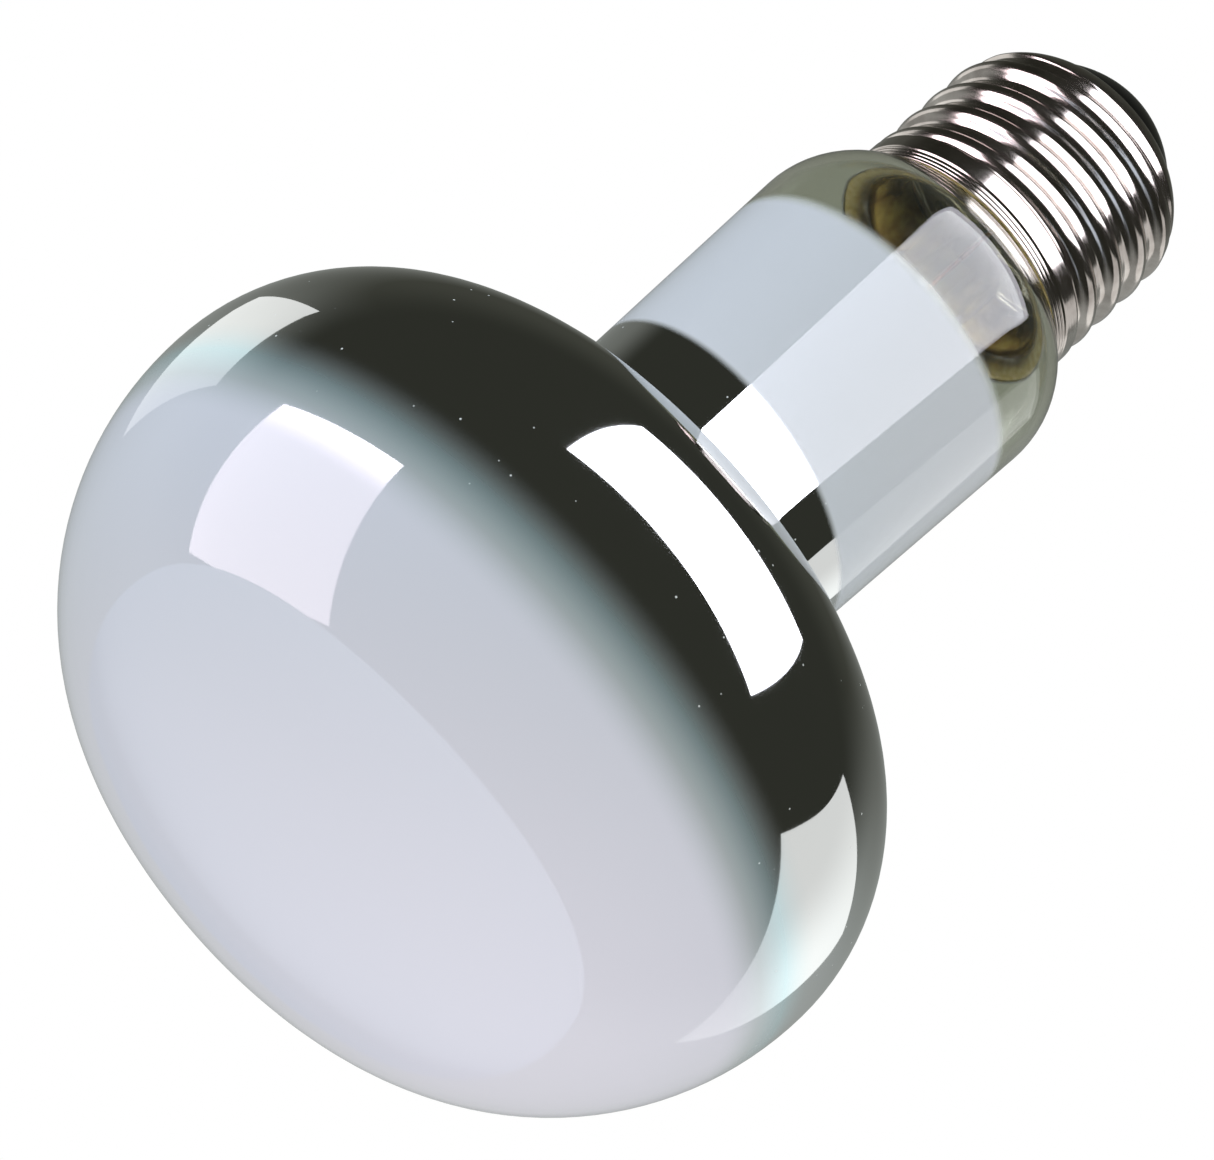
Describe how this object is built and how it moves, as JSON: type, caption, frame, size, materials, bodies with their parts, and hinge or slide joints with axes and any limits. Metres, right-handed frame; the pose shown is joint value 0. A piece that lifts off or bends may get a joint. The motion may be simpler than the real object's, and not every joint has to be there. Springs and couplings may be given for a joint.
{
  "type": "reflector bulb",
  "caption": "Mushroom-shaped reflector bulb with a frosted dome face, a mirrored back and a straight neck, on a nickel-plated E27 screw cap.",
  "frame": {"origin": "middle of the domed face, the lowest point of the bulb, on its axis", "axes": "+Z along the axis from the face to the cap, cap up; -Y is the side the picture shows"},
  "size_m": [0.08, 0.08, 0.1198],
  "materials": {
    "blown_glass": "frosted face, mirrored back, clear shoulder",
    "nickel_shell": "nickel plated",
    "cap_cement": "matt",
    "black_glass": "glossy black",
    "brass_contact": "stamped",
    "solder": "dull solder",
    "stem_glass": "clear",
    "nickel_wire": "drawn wire",
    "copper_wire": "drawn wire",
    "filament_wire": "drawn wire"
  },
  "bodies": {
    "root": {"glass_envelope": "blown_glass", "screw_shell": "nickel_shell", "cap_cement": "cap_cement", "cap_insulator": "black_glass", "centre_contact": "brass_contact", "contact_solder": "solder", "side_solder": "solder", "stem_flare": "stem_glass", "exhaust_tube": "stem_glass", "support_rod": "stem_glass", "inner_lead_centre": "nickel_wire", "inner_lead_side": "nickel_wire", "outer_lead_centre": "copper_wire", "outer_lead_side": "copper_wire", "filament": "filament_wire", "filament_support_1": "filament_wire", "filament_support_2": "filament_wire", "filament_support_3": "filament_wire"}
  },
  "joints": []
}
